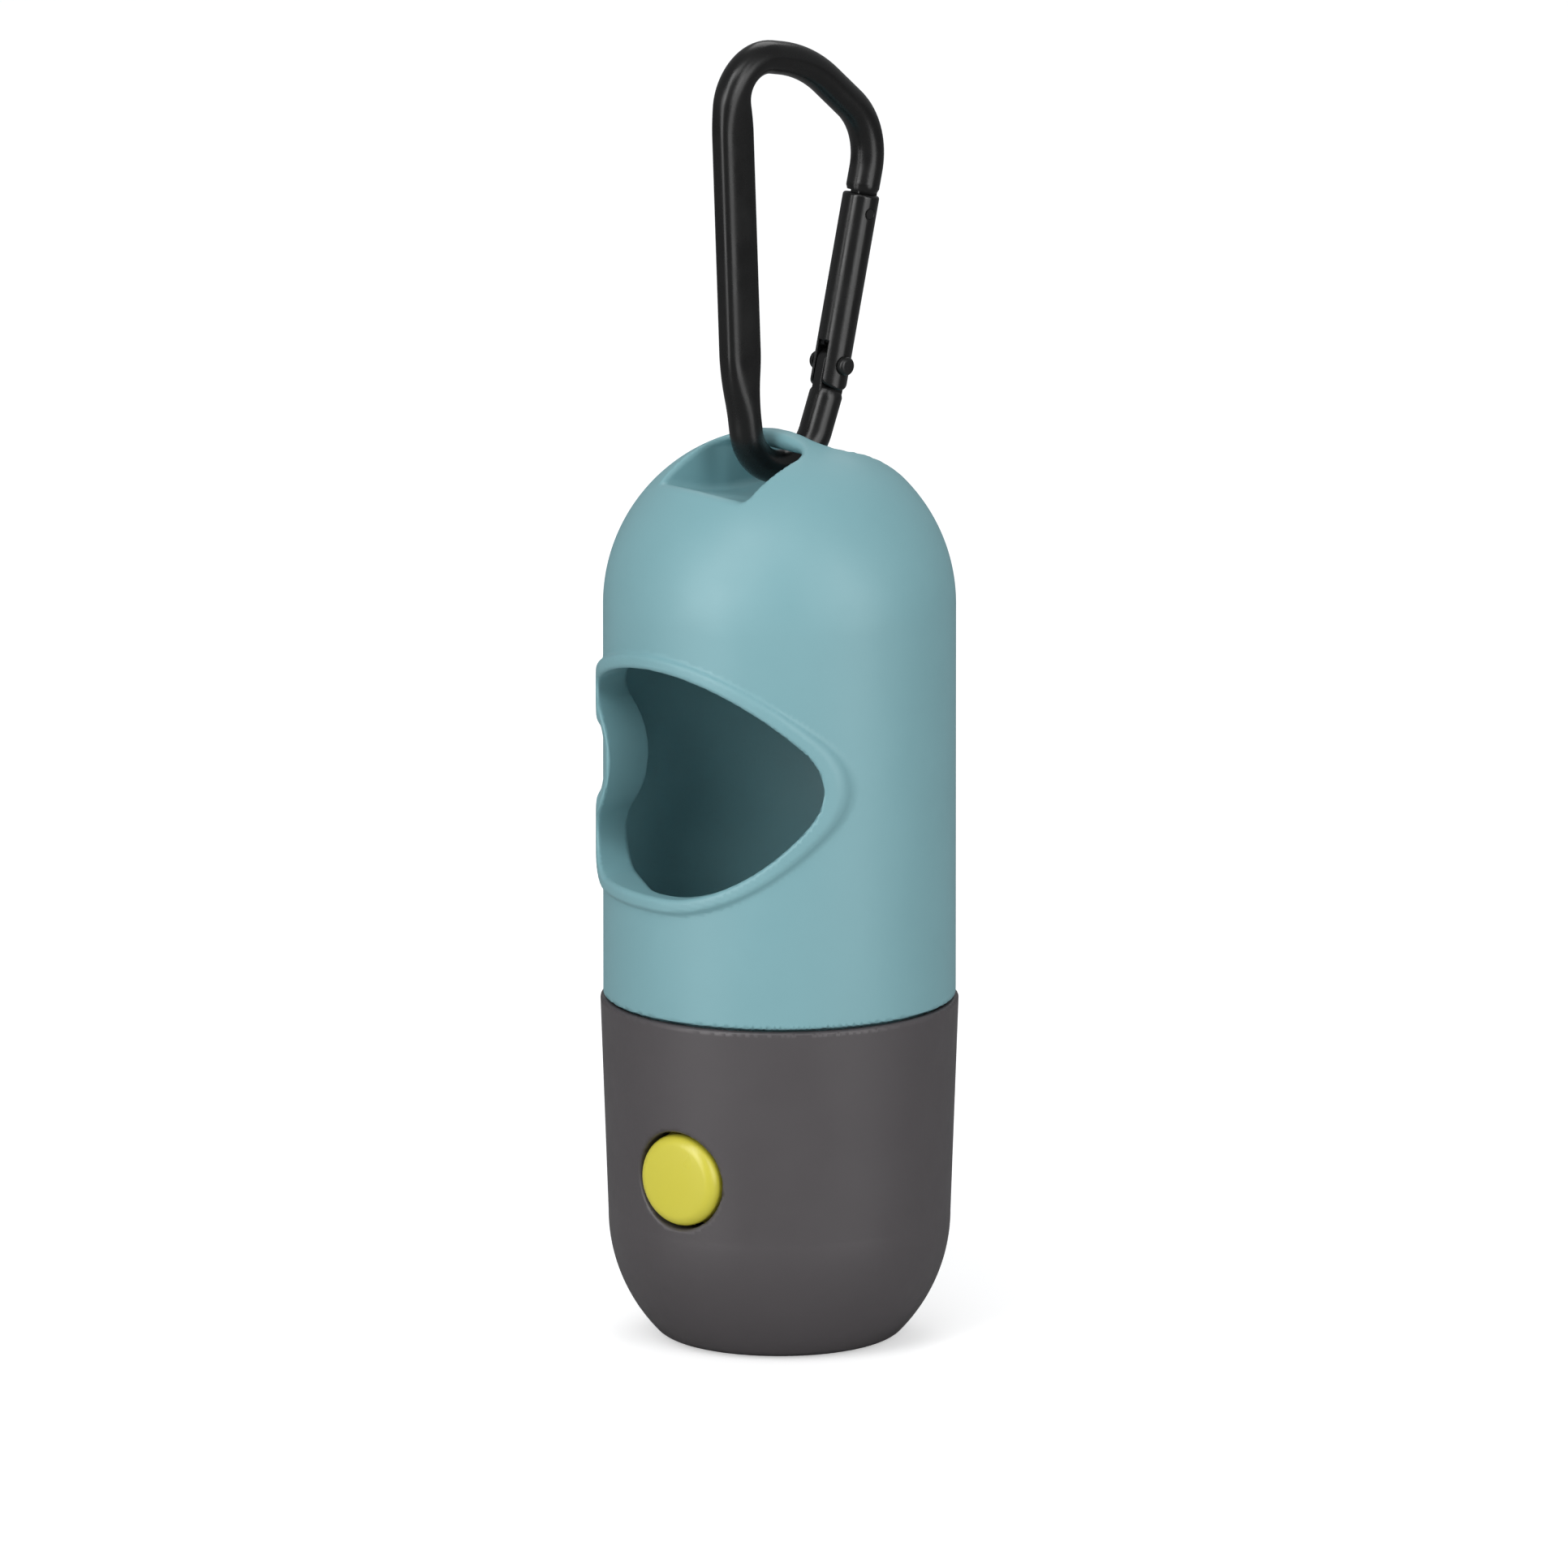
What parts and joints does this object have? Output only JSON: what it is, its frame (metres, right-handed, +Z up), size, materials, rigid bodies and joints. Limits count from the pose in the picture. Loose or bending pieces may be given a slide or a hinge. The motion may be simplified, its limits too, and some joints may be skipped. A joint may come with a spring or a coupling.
{
  "type": "dog poop bag dispenser",
  "caption": "A capsule-shaped dog waste bag dispenser in blue-grey plastic, with a heart-shaped mouth, a dark screw cap with a torch and a yellow button, and a small black carabiner.",
  "frame": {"origin": "centre of the flat base that the capsule stands on", "axes": "+Z up along the capsule, -Y out through the mouth, +X to the right of the mouth"},
  "size_m": [0.0426, 0.043, 0.1575],
  "materials": {
    "teal_plastic": "satin moulded plastic",
    "grey_plastic": "satin moulded plastic",
    "yellow_plastic": "satin moulded plastic",
    "black_anodised": "satin black anodised",
    "clear_plastic": "clear moulded plastic",
    "bright_reflector": "bright metallised plastic",
    "steel": "plain drawn steel",
    "board_green": "green lacquered board",
    "brown_plastic": "plain moulded plastic",
    "black_plastic": "plain moulded plastic",
    "lamp_white": "clear cast resin"
  },
  "bodies": {
    "housing": {"upper_housing": "teal_plastic"},
    "optics": {"lens": "clear_plastic", "reflector": "bright_reflector"},
    "cap": {"cap_shell": "grey_plastic", "led_lamp": "lamp_white", "led_leads": "steel", "circuit_board": "board_green", "resistor": "black_plastic", "switch_body": "black_plastic", "switch_cover": "steel", "battery_tray": "black_plastic", "button_cell_1": "steel", "button_cell_2": "steel", "button_cell_3": "steel", "contact_spring": "steel", "spring_strip": "steel", "contact_plate": "steel", "inner_cover": "grey_plastic", "cover_screws": "steel"},
    "button": {"push_button": "yellow_plastic", "switch_plunger": "brown_plastic"},
    "carabiner": {"carabiner_frame": "black_anodised", "hinge_pin": "black_anodised"},
    "gate": {"gate_tube": "black_anodised", "latch_pin": "steel", "gate_plunger": "steel", "gate_spring": "steel"}
  },
  "joints": [
    {"name": "cap_lift", "type": "slide", "parent": "housing", "child": "optics", "axis": [0, 0, -1], "range_m": [0, 0.00801]},
    {"name": "cap_turn", "type": "hinge", "parent": "optics", "child": "cap", "pos_m": [0, 0, 0.0414], "axis": [0, 0, -1], "range_deg": [0, 720]},
    {"name": "button_press", "type": "slide", "parent": "cap", "child": "button", "axis": [-0.0087, 1, 0], "range_m": [0, 0.0008], "stiffness_N_per_m": 1200, "springref_m": -0.0003},
    {"name": "carabiner_swing", "type": "hinge", "parent": "housing", "child": "carabiner", "pos_m": [0.00008, 0.00039, 0.1114], "axis": [0.9816, -0.1908, 0], "range_deg": [-60, 60]},
    {"name": "gate_open", "type": "hinge", "parent": "carabiner", "child": "gate", "pos_m": [0.00159, 0.0082, 0.117], "axis": [0.9816, -0.1908, 0], "range_deg": [0, 25], "stiffness_Nm_per_rad": 0.04, "springref_deg": -11.46}
  ],
  "couplings": [
    {"joint": "cap_lift", "follows": "cap_turn", "m_per_rad": 0.00063662}
  ]
}
